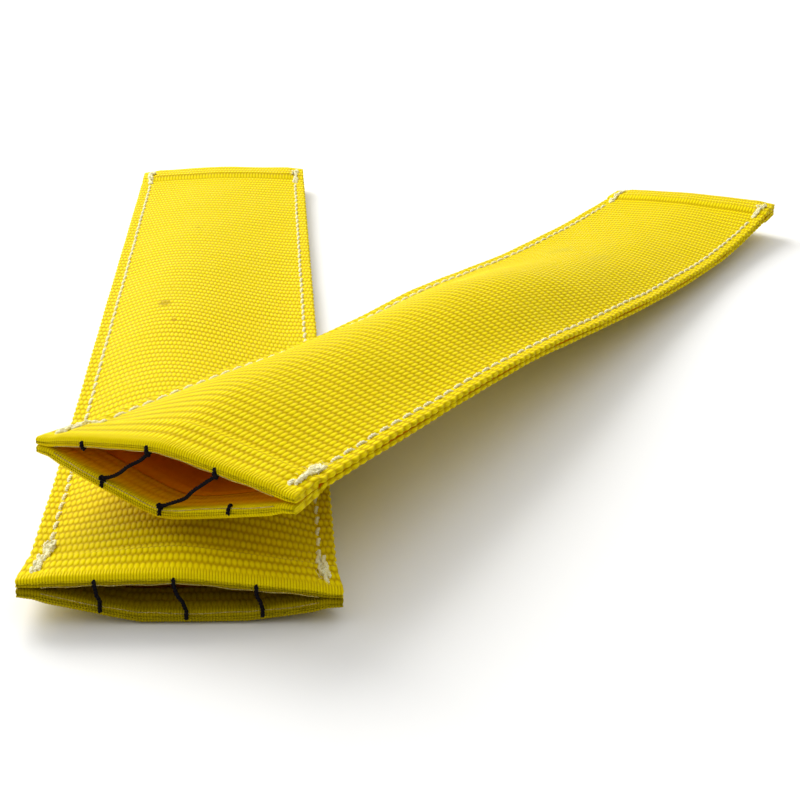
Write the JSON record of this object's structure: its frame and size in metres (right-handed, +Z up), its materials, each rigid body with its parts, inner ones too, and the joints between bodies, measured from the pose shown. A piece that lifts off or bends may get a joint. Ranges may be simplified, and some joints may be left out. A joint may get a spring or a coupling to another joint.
{
  "type": "wear sleeve for flat web sling",
  "caption": "Crossed pair of open-ended woven webbing sleeves that slide over a flat lifting sling to protect it from wear.",
  "frame": {"origin": "under the middle of the lower sleeve, on the surface that the pair lies on", "axes": "+Z up; +Y along the lower sleeve from its near mouth to its far mouth; +X across it, towards the side that the upper sleeve runs to"},
  "size_m": [0.4189, 0.5986, 0.0586],
  "materials": {
    "webbing": "coarse plain-woven polyester webbing, satin sheen",
    "seam_thread": "twisted white polyester sewing thread",
    "tie_thread": "dark twisted thread",
    "clear_thread": "clear nylon monofilament"
  },
  "bodies": {
    "lower_front": {"lower_top_ply_front": "webbing", "lower_bottom_ply_front": "webbing", "lower_left_needle_thread_front": "seam_thread", "lower_left_bobbin_thread_front": "seam_thread", "lower_left_bar_tack_near": "seam_thread", "lower_right_needle_thread_front": "seam_thread", "lower_right_bobbin_thread_front": "seam_thread", "lower_right_bar_tack_near": "seam_thread", "lower_tie_thread_near_1": "tie_thread", "lower_tie_thread_near_2": "tie_thread", "lower_tie_thread_near_3": "tie_thread", "lower_top_hem_thread_near": "clear_thread", "lower_bottom_hem_thread_near": "clear_thread"},
    "lower_rear": {"lower_top_ply_rear": "webbing", "lower_bottom_ply_rear": "webbing", "lower_left_needle_thread_rear": "seam_thread", "lower_left_bobbin_thread_rear": "seam_thread", "lower_left_bar_tack_far": "seam_thread", "lower_right_needle_thread_rear": "seam_thread", "lower_right_bobbin_thread_rear": "seam_thread", "lower_right_bar_tack_far": "seam_thread", "lower_tie_thread_far_1": "tie_thread", "lower_tie_thread_far_2": "tie_thread", "lower_tie_thread_far_3": "tie_thread", "lower_top_hem_thread_far": "clear_thread", "lower_bottom_hem_thread_far": "clear_thread"},
    "upper_front": {"upper_top_ply_front": "webbing", "upper_bottom_ply_front": "webbing", "upper_left_needle_thread_front": "seam_thread", "upper_left_bobbin_thread_front": "seam_thread", "upper_left_bar_tack_near": "seam_thread", "upper_right_needle_thread_front": "seam_thread", "upper_right_bobbin_thread_front": "seam_thread", "upper_right_bar_tack_near": "seam_thread", "upper_tie_thread_near_1": "tie_thread", "upper_tie_thread_near_2": "tie_thread", "upper_hem_stitch_top": "tie_thread", "upper_hem_stitch_bottom": "tie_thread", "upper_top_hem_thread_near": "clear_thread", "upper_bottom_hem_thread_near": "clear_thread"},
    "upper_rear": {"upper_top_ply_rear": "webbing", "upper_bottom_ply_rear": "webbing", "upper_left_needle_thread_rear": "seam_thread", "upper_left_bobbin_thread_rear": "seam_thread", "upper_left_bar_tack_far": "seam_thread", "upper_right_needle_thread_rear": "seam_thread", "upper_right_bobbin_thread_rear": "seam_thread", "upper_right_bar_tack_far": "seam_thread", "upper_tie_thread_far_1": "tie_thread", "upper_tie_thread_far_2": "tie_thread", "upper_tie_thread_far_3": "tie_thread", "upper_top_hem_thread_far": "clear_thread", "upper_bottom_hem_thread_far": "clear_thread"}
  },
  "joints": [
    {"name": "lower_fold", "type": "hinge", "parent": "lower_front", "child": "lower_rear", "pos_m": [0, 0.034, 0.0195], "axis": [1, 0, 0], "range_deg": [0, 90]},
    {"name": "lift_off", "type": "slide", "parent": "lower_front", "child": "upper_front", "axis": [0, 0, 1], "range_m": [0, 0.12]},
    {"name": "upper_fold", "type": "hinge", "parent": "upper_front", "child": "upper_rear", "pos_m": [0.17113, 0.00726, 0.038], "axis": [0.8387, -0.5446, 0], "range_deg": [0, 90]}
  ]
}
